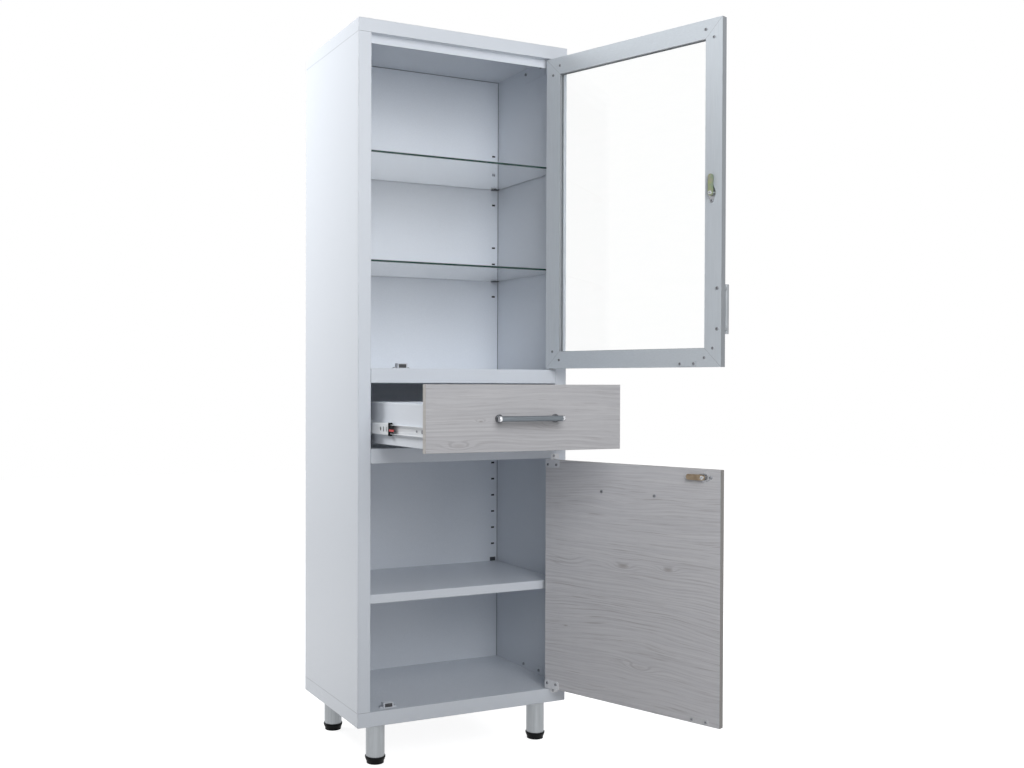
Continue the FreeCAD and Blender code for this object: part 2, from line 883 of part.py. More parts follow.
def upper_frame():
    """The four members of the glazed door, drilled for pins, lock, handle and screws."""
    x0, x1, z0, z1 = -door_half, door_half, upper_bottom, upper_top
    members = {
        "upper_door_lock_stile": frame_member(x0, x1, z0, z1, x0, ACROSS),
        "upper_door_hinge_stile": frame_member(x0, x1, z0, z1, x1, ACROSS * -1),
        "upper_door_bottom_rail": frame_member(x0, x1, z0, z1, z0, UP),
        "upper_door_top_rail": frame_member(x0, x1, z0, z1, z1, DOWN),
    }
    drills = [rod(lock_radius, Vector(upper_lock.x, front, upper_lock.z), BACK, upper_thick)]
    for edge, way in upper_hinges():
        seat = Vector(pivot_x, pivot_y, edge + way * door_gap)
        drills.append(rod(bush_sleeve, seat, UP * way, bush_length))
        drills.append(pin_hole(edge, way))
    drills += handle_holes(upper_handle, UP, upper_handle_spacing, upper_thick)
    drills += screw_holes(upper_screw_places(), FORWARD)
    return {name: member.cut(drills) for name, member in members.items()}


def pin_hole(edge, way):
    foot = Vector(pivot_x, pivot_y, edge)
    return rod(pivot_radius + running_gap, foot, UP * way, door_gap + pivot_depth + pivot_end_gap)


def pane_box(margin, y0, y1):
    edge = frame_width - margin
    return box(-door_half + edge, door_half - edge, y0, y1, upper_bottom + edge, upper_top - edge)


def upper_pane():
    start = front + groove_start + (groove_width - pane_thick) / 2
    return pane_box(pane_insert, start, start + pane_thick)


def upper_gasket():
    """Rubber channel round the pane's edge, filling the groove and showing as a thin lip."""
    start = front + groove_start
    ring = pane_box(groove_depth, start, start + groove_width)
    return ring.cut([pane_box(-gasket_lip, start, start + groove_width), upper_pane()])


def corner_screw_places():
    """Two screws at each corner of the frame, one into each member."""
    places = []
    middle = frame_width / 2
    for x in (-door_half, door_half):
        for z in (upper_bottom, upper_top):
            in_x = -math.copysign(1, x)
            in_z = 1 if z == upper_bottom else -1
            places.append(Vector(x + in_x * middle, upper_inner, z + in_z * frame_width))
            places.append(Vector(x + in_x * frame_width, upper_inner, z + in_z * middle))
    return places


def strike_screw_places(inset, bottom, inner):
    centre = -door_half + inset
    level = bottom + strike_rise + strike_height / 2
    half = strike_screw_spacing / 2
    return [Vector(centre + side * half, inner, level) for side in (-1, 1)]


def lock_screw_places(place, long_axis, inner):
    spots = [place + long_axis * (side * lock_screw_offset) for side in (-1, 1)]
    return [Vector(spot.x, inner, spot.z) for spot in spots]


def upper_screw_places():
    places = corner_screw_places()
    places += strike_screw_places(upper_catch_inset, upper_bottom, upper_inner)
    return places + lock_screw_places(upper_lock, UP, upper_inner)


def corner_brackets():
    """Angle pieces inside the hollow members, drilled where the corner screws bite."""
    brackets = []
    y0 = front + frame_wall + corner_gap / 2
    thick = upper_thick - 2 * frame_wall - corner_gap
    near = corner_inset
    far = corner_inset + corner_width
    end = corner_leg
    outline = [(near, near), (end, near), (end, far), (far, far), (far, end), (near, end)]
    drills = screw_holes(corner_screw_places(), FORWARD)
    for x in (-door_half, door_half):
        for z in (upper_bottom, upper_top):
            in_x = -math.copysign(1, x)
            in_z = 1 if z == upper_bottom else -1
            points = [Vector(x + in_x * a, y0, z + in_z * b) for a, b in outline]
            brackets.append(prism(points, BACK * thick).cut(drills))
    return brackets


def pivot_bush(edge, way):
    """Flanged nylon bush in the end of the glazed door, turning on the pin."""
    seat = Vector(pivot_x, pivot_y, edge + way * door_gap)
    inward = UP * way
    flange = rod(bush_sleeve + bush_rim, seat, inward * -1, leaf_sheet)
    sleeve = rod(bush_sleeve, seat, inward, bush_length)
    bore = rod(pivot_radius + running_gap, seat - inward * leaf_sheet, inward, leaf_sheet + bush_length)
    return fuse([flange, sleeve]).cut(bore)


def plate_screw_places(edge, way):
    level = edge + way * (door_gap + plate_screw_rise)
    spots = (door_half - plate_screw_inset, door_half - plate_width + plate_screw_inset)
    return [Vector(x, board_inner, level) for x in spots]


def door_leaf(edge, way):
    """Angle on the board door: a screwed plate inside and a leaf over its edge, bored for the pin."""
    rim = edge + way * door_gap
    tip = rim + way * plate_height
    back = board_inner + plate_sheet
    left = door_half - plate_width
    plate = box(left, door_half, board_inner, back, min(rim, tip), max(rim, tip))
    ends = [line for line in plate.Edges if abs(line.CenterOfMass.z - tip) < CLOSE]
    plate = plate.makeFillet(plate_round, [line for line in ends if line.Length < plate_width])
    under = rim - way * leaf_sheet
    leaf = box(door_half - leaf_width, door_half, front + running_gap, back, min(rim, under), max(rim, under))
    drills = [pin_hole(edge, way)]
    for place in plate_screw_places(edge, way):
        drills.append(rod(screw_radius, place, BACK, plate_sheet))
    return fuse([plate, leaf]).cut(drills)


def lower_hinges():
    return hinge_levels()[:2]


def upper_hinges():
    return hinge_levels()[2:]


def front_edges(shape):
    return [edge for edge in shape.Edges if abs(edge.CenterOfMass.y - front) < CLOSE]


def lower_panel():
    """Laminated board with eased edges, bored for pins, lock, handle and screws."""
    shape = box(-door_half, door_half, front, board_inner, lower_bottom, lower_top)
    shape = shape.makeFillet(board_round, front_edges(shape))
    drills = [rod(lock_radius, Vector(lower_lock.x, front, lower_lock.z), BACK, board_thick)]
    places = strike_screw_places(lower_catch_inset, lower_bottom, board_inner)
    places += lock_screw_places(lower_lock, ACROSS, board_inner)
    for edge, way in lower_hinges():
        drills.append(pin_hole(edge, way))
        places += plate_screw_places(edge, way)
    drills += handle_holes(lower_handle, ACROSS, lower_handle_spacing, board_thick)
    return shape.cut(drills + screw_holes(places, FORWARD))


def strike(inset, bottom, inner):
    centre = -door_half + inset
    half = strike_length / 2
    z0 = bottom + strike_rise
    plate = box(centre - half, centre + half, inner, inner + strike_thick, z0, z0 + strike_height)
    corners = [edge for edge in plate.Edges if abs(edge.CenterOfMass.y - inner - strike_thick / 2) < CLOSE]
    plate = plate.makeFillet(strike_round, corners)
    places = strike_screw_places(inset, bottom, inner)
    return plate.cut([rod(screw_radius, place, BACK, strike_thick) for place in places])


def catch_face(inner):
    return inner + strike_thick + strike_gap


def catch_body(inset, level, inner):
    """Catch housing on the panel below the door, with a screw ear at each end and a magnet pocket."""
    centre = -door_half + inset
    y0 = catch_face(inner) + magnet_proud
    y1 = y0 + catch_depth
    half = catch_width / 2
    body = box(centre - half, centre + half, y0, y1, level, level + catch_height)
    reach = half + catch_ear
    ears = box(centre - reach, centre + reach, y0 + catch_ear_setback, y1, level, level + catch_ear_thick)
    cuts = [catch_magnet(inset, level, inner)]
    for place in catch_screw_places(inset, level, inner):
        cuts.append(rod(screw_radius, place, DOWN, catch_ear_thick))
    return fuse([body, ears]).cut(cuts)


def catch_screw_places(inset, level, inner):
    centre = -door_half + inset
    y = catch_face(inner) + magnet_proud + catch_screw_setback
    reach = catch_width / 2 + catch_ear / 2
    return [Vector(centre + side * reach, y, level + catch_ear_thick) for side in (-1, 1)]


def catch_magnet(inset, level, inner):
    centre = -door_half + inset
    half = catch_width / 2 - catch_side_wall
    y0 = catch_face(inner)
    y1 = y0 + magnet_proud + magnet_depth
    return box(centre - half, centre + half, y0, y1, level + catch_roof, level + catch_height - catch_roof)


def catches():
    return [(upper_catch_inset, z_upper_top, upper_inner), (lower_catch_inset, z_floor, board_inner)]


def slide_section(inset, reach, half, opens_in):
    """Channel section of one slide member, in the upright plane across the right slide."""
    level = half - slide_sheet / 2
    web = inset + slide_sheet / 2 if opens_in else inset - slide_sheet / 2
    return [(slide_plane - reach, slide_z + level), (slide_plane - web, slide_z + level),
            (slide_plane - web, slide_z - level), (slide_plane - reach, slide_z - level)]


outer_half = slide_height / 2
outer_room = outer_half - slide_sheet
middle_half = outer_room - race_gap
middle_room = middle_half - slide_sheet
inner_half = middle_room - race_gap
inner_room = inner_half - slide_sheet
middle_front = front + middle_start
slide_rear = slide_front + slide_length


def slide_bracket():
    """Hat channel that carries the right slide clear of the front flange."""
    wall = x_inner - bracket_sheet / 2
    web = slide_plane + bracket_sheet / 2
    points = [
        (wall, slide_z + bracket_half + bracket_foot),
        (wall, slide_z + bracket_half),
        (web, slide_z + bracket_half),
        (web, slide_z - bracket_half),
        (wall, slide_z - bracket_half),
        (wall, slide_z - bracket_half - bracket_foot),
    ]
    return front_fold(points, bracket_sheet, slide_front, slide_rear)


def slide_outer():
    points = slide_section(0, slide_lip, outer_half, True)
    return front_fold(points, slide_sheet, slide_front, slide_rear)


def slide_middle():
    """Middle member, with two slots and a round hole behind its plastic end."""
    points = slide_section(middle_inset, middle_reach, middle_half, True)
    start = middle_front + bumper_length
    shape = front_fold(points, slide_sheet, start, slide_rear)
    web = slide_plane - middle_inset
    spot = Vector(web, start + middle_hole_start, slide_z)
    cuts = [rod(middle_hole_radius, spot, ACROSS * -1, slide_sheet)]
    rise = middle_slot_height / 2
    for step in range(2):
        y0 = start + middle_slot_start + step * middle_slot_pitch
        cuts.append(box(web - slide_sheet, web, y0, y0 + middle_slot_length, slide_z - rise, slide_z + rise))
    return shape.cut(cuts)


def slide_inner():
    """Inner member on the drawer side, with the round hole and slot of its mounting screws."""
    points = slide_section(slide_width, inner_inset, inner_half, False)
    shape = front_fold(points, slide_sheet, slide_front, slide_rear)
    web = drawer_half + slide_sheet
    spot = Vector(drawer_half, slide_front + inner_hole_start, slide_z)
    hole = rod(screw_radius, spot, ACROSS, slide_sheet)
    slot_front = slide_front + inner_slot_start
    rise = inner_slot_height / 2
    slot = box(drawer_half, web, slot_front, slot_front + inner_slot_length, slide_z - rise, slide_z + rise)
    return shape.cut([hole, slot])


def channel(inset, web, reach, half, room, y0, y1):
    """Channel with thick flanges and a thin web, open towards the drawer."""
    back = slide_plane - inset
    outer = box(slide_plane - reach, back, y0, y1, slide_z - half, slide_z + half)
    bends = [edge for edge in outer.Edges if abs(edge.CenterOfMass.x - back) < CLOSE]
    bends = [edge for edge in bends if abs(edge.CenterOfMass.z - slide_z) > CLOSE]
    outer = outer.makeFillet(race_round, bends)
    hollow = box(slide_plane - reach, slide_plane - inset - web, y0, y1, slide_z - room, slide_z + room)
    return outer.cut(hollow)


def cage_start(share, length, overlap_front, overlap_rear):
    """Shut place of a ball cage that is centred on its races' overlap at full travel."""
    return (overlap_front + overlap_rear - length) / 2 + share * drawer_travel


def outer_cage():
    end = slide_rear - middle_share * drawer_travel
    start = cage_start(outer_cage_share, outer_cage_length, slide_front, end)
    return channel(slide_sheet + race_clear, cage_web, cage_reach, outer_room - race_clear,
                   middle_half + race_clear, start, start + outer_cage_length)


def inner_cage():
    begin = middle_front + bumper_length - middle_share * drawer_travel
    start = cage_start(inner_cage_share, inner_cage_length, begin, slide_rear - drawer_travel)
    return channel(middle_inset + slide_sheet + race_clear, cage_web, cage_reach, middle_room - race_clear,
                   inner_half + race_clear, start, start + inner_cage_length)


def bumper_back():
    return slide_sheet + 2 * race_clear


def slide_bumper():
    """Plastic end of the middle member, round the inner member, with a flat nose."""
    tip = inner_inset - bumper_gap
    body = channel(bumper_back(), tip - bumper_back(), middle_reach, outer_room - 2 * race_clear,
                   inner_half + bumper_clear, middle_front, middle_front + bumper_length)
    half = nose_height / 2
    nose = box(slide_plane - tip, slide_plane - bumper_back() - lever_thick, middle_front - nose_length,
               middle_front, slide_z - half, slide_z + half)
    return fuse([body, nose])


def slide_lever():
    """Release lever lying on the nose."""
    back = slide_plane - bumper_back()
    tip = middle_front - lever_length
    return box(back - lever_thick, back, tip, middle_front, slide_z - lever_height, slide_z)


def drawer_tray():
    """Folded steel drawer box with in-turned rims, and the front and back walls that close it."""
    y0 = board_inner
    y1 = board_inner + drawer_length
    edge = drawer_half - sheet / 2
    rim = drawer_rim - sheet / 2
    base = drawer_bottom + sheet / 2
    lip = edge - drawer_lip
    points = [(lip, rim), (edge, rim), (edge, base), (-edge, base), (-edge, rim), (-lip, rim)]
    pan = front_fold(points, sheet, y0, y1)
    holes = handle_holes(drawer_handle, ACROSS, drawer_handle_spacing, board_thick + sheet)
    holes += [rod(screw_radius, place, FORWARD, sheet) for place in drawer_screw_places()]
    walls = [box(-edge, edge, y, y + sheet, base, drawer_rim) for y in (y0, y1 - sheet)]
    return [pan] + [wall.cut([pan] + holes) for wall in walls]


def drawer_screw_places():
    """Screws through the tray's front wall into the drawer front."""
    half = drawer_half - drawer_screw_inset
    levels = (drawer_bottom + drawer_screw_rise, drawer_rim - drawer_screw_rise)
    return [Vector(x, board_inner + sheet, level) for x in (-half, half) for level in levels]


def drawer_front():
    z0 = z_lower_top + drawer_under_gap
    z1 = z_upper_rail - drawer_over_gap
    shape = box(-drawer_front_half, drawer_front_half, front, board_inner, z0, z1)
    shape = shape.makeFillet(board_round, front_edges(shape))
    drills = handle_holes(drawer_handle, ACROSS, drawer_handle_spacing, board_thick)
    return shape.cut(drills + screw_holes(drawer_screw_places(), FORWARD))


def opened(shape):
    turned = shape.copy()
    turned.rotate(Vector(pivot_x, pivot_y, 0), UP, door_open_angle)
    return turned


def pulled(shape, share):
    moved = shape.copy()
    moved.translate(Vector(0, -share * drawer_out, 0))
    return moved


def save(name, shapes):
    shape = shapes[0] if len(shapes) == 1 else Part.makeCompound(shapes)
    shape.exportStep("parts/" + name + ".step")


def save_carcass():
    save("right_side_panel", [side_panel()])
    save("left_side_panel", [mirrored(side_panel())])
    save("back_panel", [back_panel()])
    save("top_panel", [top_panel()])
    save("bottom_panel", [bottom_panel()])
    save("upper_divider", [divider(z_upper_top)])
    save("lower_divider", [divider(z_lower_top)])
    save("base_channels", both_sides(base_channel()))
    save("leg_tubes", [leg_tube(place) for place in leg_places()])
    save("leg_feet", [leg_foot(place) for place in leg_places()])
    save("leg_bolts", [leg_bolt(place) for place in leg_places()])


def save_shelves():
    low, high = glass_levels
    save("steel_shelf", [steel_shelf()])
    save("lower_glass_shelf", [glass_shelf(low)])
    save("upper_glass_shelf", [glass_shelf(high)])
    fronts = front_ledges()
    backs = rear_ledges()
    save("glass_shelf_clips", shelf_clips(fronts[0], backs[0]) + shelf_clips(fronts[1], backs[1]))
    save("steel_shelf_clips", shelf_clips(fronts[2], backs[2]))


def save_fixed_hardware():
    brackets = [pivot_bracket(edge, way) for edge, way in lower_hinges()]
    save("pivot_brackets", brackets + [pivot_leaf(edge, way) for edge, way in upper_hinges()])
    save("pivot_pins", [pivot_pin(edge, way) for edge, way in hinge_levels()])
    save("catch_bodies", [catch_body(*catch) for catch in catches()])
    save("catch_magnets", [catch_magnet(*catch) for catch in catches()])
    fasteners = joining_nuts() + ear_screws()
    for catch in catches():
        fasteners += [pan_screw(place, DOWN, catch_ear_thick) for place in catch_screw_places(*catch)]
    save("cabinet_fasteners", fasteners)


def save_upper_door():
    for name, member in upper_frame().items():
        save(name, [opened(member)])
    save("upper_door_pane", [opened(upper_pane())])
    save("upper_door_gasket", [opened(upper_gasket())])
    save("upper_door_corner_brackets", [opened(part) for part in corner_brackets()])
    save("upper_door_bushes", [opened(pivot_bush(edge, way)) for edge, way in upper_hinges()])
    handle = (upper_handle, UP, upper_handle_spacing)
    save("upper_door_handle_bar", [opened(handle_bar(*handle))])
    save("upper_door_handle_posts", [opened(part) for part in handle_posts(*handle)])
    save("upper_door_strike", [opened(strike(upper_catch_inset, upper_bottom, upper_inner))])
    screws = [pan_screw(place, FORWARD, screw_length) for place in corner_screw_places()]
    for place in strike_screw_places(upper_catch_inset, upper_bottom, upper_inner + strike_thick):
        screws.append(pan_screw(place, FORWARD, screw_length))
    screws += lock_screws(upper_lock, UP, upper_inner)
    screws += handle_screw_set(*handle, upper_thick)
    save("upper_door_screws", [opened(screw) for screw in screws])
    save("upper_lock_body", [opened(lock_body(upper_lock, UP, upper_inner))])
    save("upper_lock_plug", [opened(lock_plug(upper_lock, upper_inner))])
    save("upper_lock_cam", [opened(lock_cam(upper_lock, upper_inner, UP))])
    save("upper_lock_nut", [opened(lock_nut(upper_lock, upper_inner))])


def save_lower_door():
    save("lower_door_panel", [opened(lower_panel())])
    save("lower_door_hinge_leaves", [opened(door_leaf(edge, way)) for edge, way in lower_hinges()])
    handle = (lower_handle, ACROSS, lower_handle_spacing)
    save("lower_door_handle_bar", [opened(handle_bar(*handle))])
    save("lower_door_handle_posts", [opened(part) for part in handle_posts(*handle)])
    save("lower_door_strike", [opened(strike(lower_catch_inset, lower_bottom, board_inner))])
    screws = []
    for edge, way in lower_hinges():
        for place in plate_screw_places(edge, way):
            screws.append(pan_screw(place + BACK * plate_sheet, FORWARD, screw_length))
    for place in strike_screw_places(lower_catch_inset, lower_bottom, board_inner + strike_thick):
        screws.append(pan_screw(place, FORWARD, screw_length))
    screws += lock_screws(lower_lock, ACROSS, board_inner)
    screws += handle_screw_set(*handle, board_thick)
    save("lower_door_screws", [opened(screw) for screw in screws])
    save("lower_lock_body", [opened(lock_body(lower_lock, ACROSS, board_inner))])
    save("lower_lock_plug", [opened(lock_plug(lower_lock, board_inner))])
    save("lower_lock_cam", [opened(lock_cam(lower_lock, board_inner, ACROSS))])
    save("lower_lock_nut", [opened(lock_nut(lower_lock, board_inner))])


def save_drawer():
    save("slide_brackets", both_sides(slide_bracket()))
    save("slide_outer_members", both_sides(slide_outer()))
    save("slide_outer_cages", [pulled(part, outer_cage_share) for part in both_sides(outer_cage())])
    save("slide_middle_members", [pulled(part, middle_share) for part in both_sides(slide_middle())])
    save("slide_bumpers", [pulled(part, middle_share) for part in both_sides(slide_bumper())])
    save("slide_levers", [pulled(part, middle_share) for part in both_sides(slide_lever())])
    save("slide_inner_cages", [pulled(part, inner_cage_share) for part in both_sides(inner_cage())])
    save("slide_inner_members", [pulled(part, 1) for part in both_sides(slide_inner())])
    save("drawer_tray", [pulled(part, 1) for part in drawer_tray()])
    save("drawer_front", [pulled(drawer_front(), 1)])
    handle = (drawer_handle, ACROSS, drawer_handle_spacing)
    save("drawer_handle_bar", [pulled(handle_bar(*handle), 1)])
    save("drawer_handle_posts", [pulled(part, 1) for part in handle_posts(*handle)])
    screws = [pan_screw(place, FORWARD, screw_length) for place in drawer_screw_places()]
    screws += handle_screw_set(*handle, board_thick + sheet)
    save("drawer_screws", [pulled(screw, 1) for screw in screws])


save_carcass()
save_shelves()
save_fixed_hardware()
save_upper_door()
save_lower_door()
save_drawer()
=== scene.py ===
import json
import math

import bmesh
import bpy
from mathutils import Matrix, Vector


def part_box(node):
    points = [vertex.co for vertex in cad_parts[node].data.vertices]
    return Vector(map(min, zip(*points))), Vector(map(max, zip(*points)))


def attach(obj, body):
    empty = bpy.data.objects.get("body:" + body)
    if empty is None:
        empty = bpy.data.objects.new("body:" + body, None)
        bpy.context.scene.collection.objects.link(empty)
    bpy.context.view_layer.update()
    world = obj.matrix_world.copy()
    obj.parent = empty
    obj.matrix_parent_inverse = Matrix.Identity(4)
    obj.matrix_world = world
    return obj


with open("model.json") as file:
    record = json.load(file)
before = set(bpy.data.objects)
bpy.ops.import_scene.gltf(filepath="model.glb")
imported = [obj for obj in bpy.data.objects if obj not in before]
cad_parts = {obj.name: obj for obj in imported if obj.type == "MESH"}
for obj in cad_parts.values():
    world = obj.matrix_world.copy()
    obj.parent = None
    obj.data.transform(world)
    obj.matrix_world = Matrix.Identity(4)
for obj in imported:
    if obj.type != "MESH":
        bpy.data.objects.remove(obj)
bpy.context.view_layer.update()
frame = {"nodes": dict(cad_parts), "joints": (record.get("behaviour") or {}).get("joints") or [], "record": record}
nodes = frame["nodes"]
slots = {part["node"]: part["material_slot"] for part in frame["record"]["subparts"]}

# Sheets, front flanges and clip slots of the cabinet, in metres
sheet = 0.001
slide_sheet = 0.0012
flange = 0.034
slot_place = 0.284

# Channels behind the clip slots, in metres
channel_half = 0.0115
channel_depth = 0.006
channel_bottom = 0.36
channel_top = 1.66

# Fine lines at the joints of the panels and of the door frame, and strips of painted shade in the corners, in
# metres
seam_half = 0.0004
seam_proud = 0.00005
seam_margin = 0.002
mitre_half = 0.0003
mitre_proud = 0.00004
mitre_start = 0.001
mitre_margin = 0.0002
corner_shade_width = 0.0012

# Cross recesses: reach as a share of the head's radius, arm as a share of the reach, heights in metres
recess_reach = 0.75
recess_arm = 0.22
recess_proud = 0.00006
head_flat = 0.00002
# Decimals of a metre to which points of a mesh count as one
weld_decimals = 5

# Caps of the handle bars: radius over the bar's and height over the bar's end, in metres
cap_profile = (
    (-0.0006, -0.0046),
    (0.00025, -0.0046),
    (0.00035, -0.0043),
    (0.00035, 0.0002),
    (-0.00015, 0.0008),
    (-0.00125, 0.0011),
)
cap_sides = 40

# Fixings of the inner slide members: place behind the front end and radius of the head, in metres
slide_fixings = ((0.0175, 0.0043), (0.047, 0.0026))
# Their heads: share of the radius, and height over the member in metres
fixing_profile = ((1.0, -0.0002), (1.0, 0.0008), (0.8, 0.0015), (0.4, 0.0018))
fixing_sides = 24

# Grain of the finishes in waves per metre: fine grain, orange peel of the paint, and wear of the gloss
fine_grain = 900.0
orange_peel = 420.0
gloss_wear = 14.0
# Height of the orange peel, in metres
peel_height = 0.00003

# Woodgrain: lines per metre of height, rise of their flow in metres, and jitter in lines
grain_lines = 110.0
grain_flow = 0.1
grain_jitter = 3.0
# Knots: length over height, lines that a knot pushes aside, how fast that fades, and reach of the core
knot_length = 3.2
knot_push = 1.9
knot_fade = 0.22
core_reach = 1.4
# Knots of each board as place across, height, half height and darkness of the core
drawer_knots = [(-0.178, 0.818, 0.005, 0.5), (-0.122, 0.8725, 0.002, 1.0), (0.06, 0.862, 0.004, 0.0)]
door_knots = [
    (0.013, 0.499, 0.0055, 1.0),
    (-0.12, 0.504, 0.0045, 1.0),
    (0.195, 0.321, 0.002, 1.0),
    (-0.038, 0.25, 0.006, 0.3),
    (0.185, 0.495, 0.009, 0.0),
]

# Camera that fits the photograph: lengths in pixels, yaw, pitch and roll in degrees, place in metres
image_width = 1024
image_height = 768
focal_length = 1123.36
centre_across = 446.04
centre_down = 396.46
camera_turn = (-25.906, -0.633, 0.157)
camera_place = (-1.3138, -2.7824, 0.958)
sensor_width = 36.0

# Studio: floor from its middle to its edge in metres, its cells, light of the world, colours of the lamps
floor_half = 9.0
floor_cells = 8
world_light = 0.17
cool_white = (0.98, 0.99, 1.0)
sky_white = (0.97, 0.985, 1.0)

# Hinge axis of the doors, and their turn from shut to the stored place
hinge = next(joint for joint in frame["joints"] if joint["name"] == "upper_door_hinge")
pivot = Vector((*hinge["pos_m"][:2], 0))
open_angle = math.radians(-hinge["range_deg"][0])
across = Vector((math.cos(open_angle), math.sin(open_angle), 0))
inward = Vector((-math.sin(open_angle), math.cos(open_angle), 0))
backward = Vector((0, 1, 0))
upward = Vector((0, 0, 1))


def span(node, axis):
    """Lowest and highest reach of a node along an axis."""
    reaches = [vertex.co.dot(axis) for vertex in nodes[node].data.vertices]
    return min(reaches), max(reaches)


# Faces and levels of the carcass
half_width, half_depth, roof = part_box("top_panel")[1]
ceiling = roof - sheet
side_face = half_width - sheet
opening = half_width - flange
back_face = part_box("back_panel")[0].y
cap_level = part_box("pivot_brackets")[1].z
floor_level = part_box("left_side_panel")[0].z
lower_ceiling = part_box("lower_divider")[0].z - sheet
upper_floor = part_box("upper_divider")[1].z

# Upper door as shut: half width, levels and faces
rail_left, rail_right = span("upper_door_bottom_rail", across)
rail_outside, rail_inside = span("upper_door_bottom_rail", inward)
door_half = (rail_right - rail_left) / 2
door_bottom, rail_top = span("upper_door_bottom_rail", upward)
door_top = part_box("upper_door_top_rail")[1].z
door_outside = pivot.y + rail_outside - pivot.dot(inward)
door_inside = pivot.y + rail_inside - pivot.dot(inward)
mitre_end = rail_top - door_bottom - mitre_margin

# Drawer: handle bar, and web and front end of the inner slide members
bar_low, bar_high = span("drawer_handle_bar", upward)
bar_radius = (bar_high - bar_low) / 2
slide_low, slide_high = span("slide_inner_members", upward)
slide_level = (slide_low + slide_high) / 2
slide_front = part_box("slide_inner_members")[0].y
slide_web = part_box("drawer_tray")[1].x + slide_sheet


def opened(x, y, z):
    """Place on a door, given as on the shut door."""
    offset = Vector((x, y, z)) - pivot
    return pivot + across * offset.x + inward * offset.y + upward * offset.z


class Graph:
    """Node tree of a material with one shader."""

    def __init__(self, name):
        self.material = bpy.data.materials.new(name)
        self.material.use_nodes = True
        self.tree = self.material.node_tree
        self.shader = self.tree.nodes["Principled BSDF"]
        coordinates = self.add("TexCoord")
        self.place = coordinates.outputs["Object"]
        self.normal = coordinates.outputs["Normal"]

    def add(self, kind, inputs=None, **settings):
        node = self.tree.nodes.new("ShaderNode" + kind)
        for name, value in settings.items():
            setattr(node, name, value)
        for name, value in (inputs or {}).items():
            self.feed(node.inputs[name], value)
        return node

    def feed(self, socket, value):
        if isinstance(value, bpy.types.NodeSocket):
            self.tree.links.new(value, socket)
        else:
            socket.default_value = value

    def shade(self, inputs):
        for name, value in inputs.items():
            self.feed(self.shader.inputs[name], value)
        return self.material

    def math(self, operation, *values):
        return self.add("Math", dict(enumerate(values)), operation=operation).outputs[0]

    def stretch(self, scale, vector=None):
        return self.add("Mapping", {"Vector": vector or self.place, "Scale": scale}).outputs[0]

    def turn_back(self, vector, centre):
        """Coordinates of an opened door as if it were shut."""
        inputs = {"Vector": vector, "Center": centre, "Angle": -open_angle}
        return self.add("VectorRotate", inputs, rotation_type="Z_AXIS").outputs[0]

    def noise(self, vector, scale, detail, roughness=0.55):
        inputs = {"Vector": vector, "Scale": scale, "Detail": detail, "Roughness": roughness}
        return self.add("TexNoise", inputs).outputs["Fac"]

    def streaks(self, stretch, vector, scale, detail, roughness=0.55):
        """Noise drawn out along one axis."""
        return self.noise(self.stretch(stretch, vector), scale, detail, roughness)

    def spread(self, value, low, high, start=0.3, end=0.7):
        inputs = {"Value": value, "From Min": start, "From Max": end, "To Min": low, "To Max": high}
        return self.add("MapRange", inputs).outputs[0]

    def blend(self, amount, first, second):
        node = self.add("Mix", data_type="RGBA")
        for index, value in ((0, amount), (6, first), (7, second)):
            self.feed(node.inputs[index], value)
        return node.outputs[2]

    def bump(self, height, depth):
        return self.add("Bump", {"Height": height, "Distance": depth, "Strength": 1.0}).outputs[0]

    def parts(self, vector):
        return self.add("SeparateXYZ", {"Vector": vector}).outputs


def rgb(red, green, blue, lift=1.0):
    """Opaque colour, lifted by a factor."""
    return (red * lift, green * lift, blue * lift, 1.0)


def finish(name, light, dark, rough, metal=0.0, scale=60.0, stretch=(1, 1, 1), depth=0.0, gloss=0.5):
    """Even finish: two tones in streaks or clouds, uneven gloss and a fine relief."""
    graph = Graph(name)
    drawn = graph.stretch(stretch)
    tone = graph.spread(graph.noise(drawn, scale, 4.0), 0.0, 1.0)
    worn = graph.spread(graph.noise(graph.place, gloss_wear, 5.0), rough - 0.06, rough + 0.06)
    relief = graph.noise(drawn, fine_grain, 2.0)
    return graph.shade({
        "Base Color": graph.blend(tone, rgb(*dark), rgb(*light)),
        "Roughness": worn,
        "Metallic": metal,
        "Specular IOR Level": gloss,
        "Normal": graph.bump(relief, depth),
    })


def painted_steel(name, lift):
    """Powder coat with slight orange peel, finely grained, with painted shade that makes it darker towards the
    floor.
    """
    graph = Graph(name)
    fine = graph.noise(graph.place, fine_grain, 1.0)
    colour = graph.blend(fine, rgb(0.738, 0.778, 0.838, lift), rgb(0.762, 0.802, 0.862, lift))
    # Painted shade: a darker copy of the paint, blended in towards the floor
    shaded_paint_colour = graph.blend(fine, rgb(0.585, 0.62, 0.67), rgb(0.605, 0.64, 0.69))
    floor_shade_amount = graph.spread(graph.parts(graph.place)["Z"], 0.5, 0.0, 0.1, 0.75)
    return graph.shade({
        "Base Color": graph.blend(floor_shade_amount, colour, shaded_paint_colour),
        "Roughness": graph.spread(fine, 0.25, 0.29, 0.0, 1.0),
        "Specular IOR Level": 0.45,
        "Normal": graph.bump(graph.noise(graph.place, orange_peel, 2.0), peel_height),
    })


